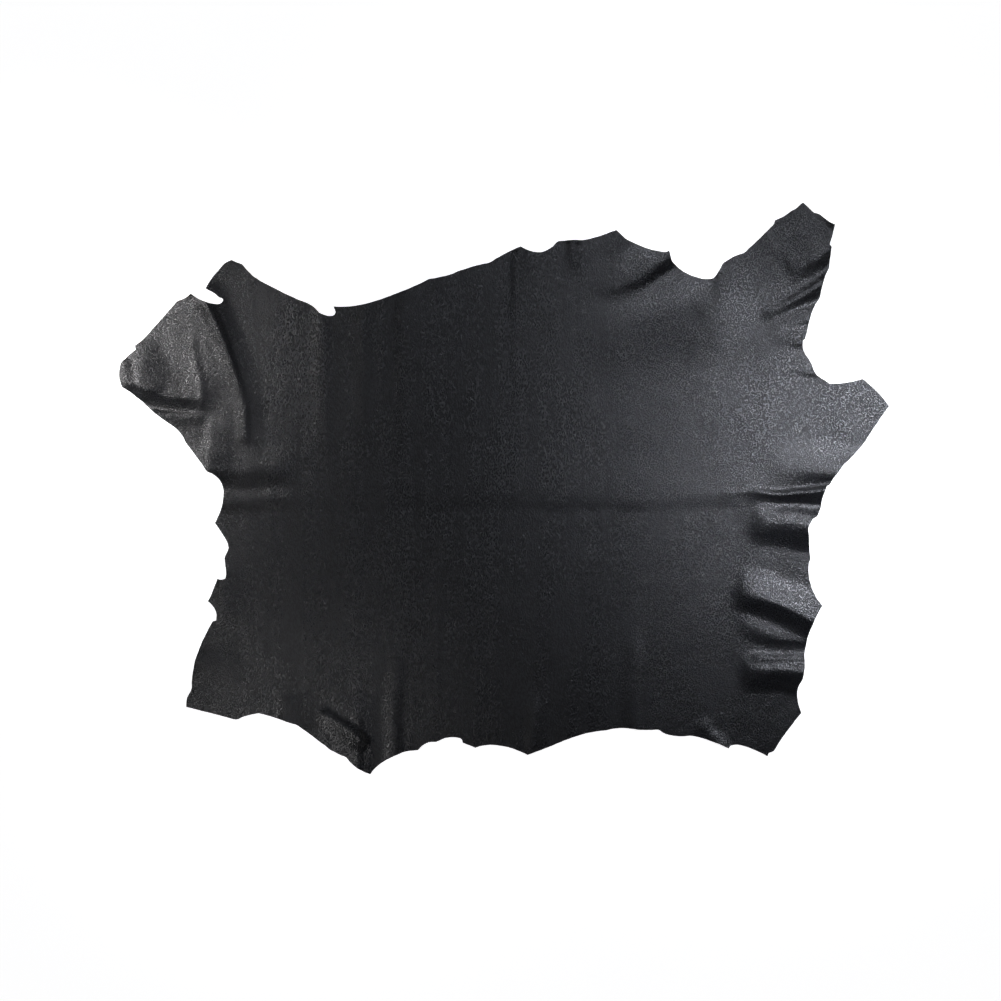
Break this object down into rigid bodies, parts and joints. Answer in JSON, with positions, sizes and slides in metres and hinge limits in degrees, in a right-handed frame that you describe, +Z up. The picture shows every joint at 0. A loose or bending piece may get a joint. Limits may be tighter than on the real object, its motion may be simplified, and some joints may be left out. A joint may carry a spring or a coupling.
{
  "type": "lambskin leather hide",
  "caption": "Whole black lambskin leather hide with its natural cut outline, laid out loose on a surface with soft folds along its edges.",
  "frame": {"origin": "on the surface that the hide lies on, at the middle of its bounding box", "axes": "+X along the longer side of the hide, +Y across it, +Z up from the surface with the grain side on top"},
  "size_m": [1.0003, 0.7426, 0.0115],
  "materials": {
    "leather": "semi-gloss dyed black grain"
  },
  "bodies": {
    "root": {"lambskin_hide": "leather"}
  },
  "joints": []
}
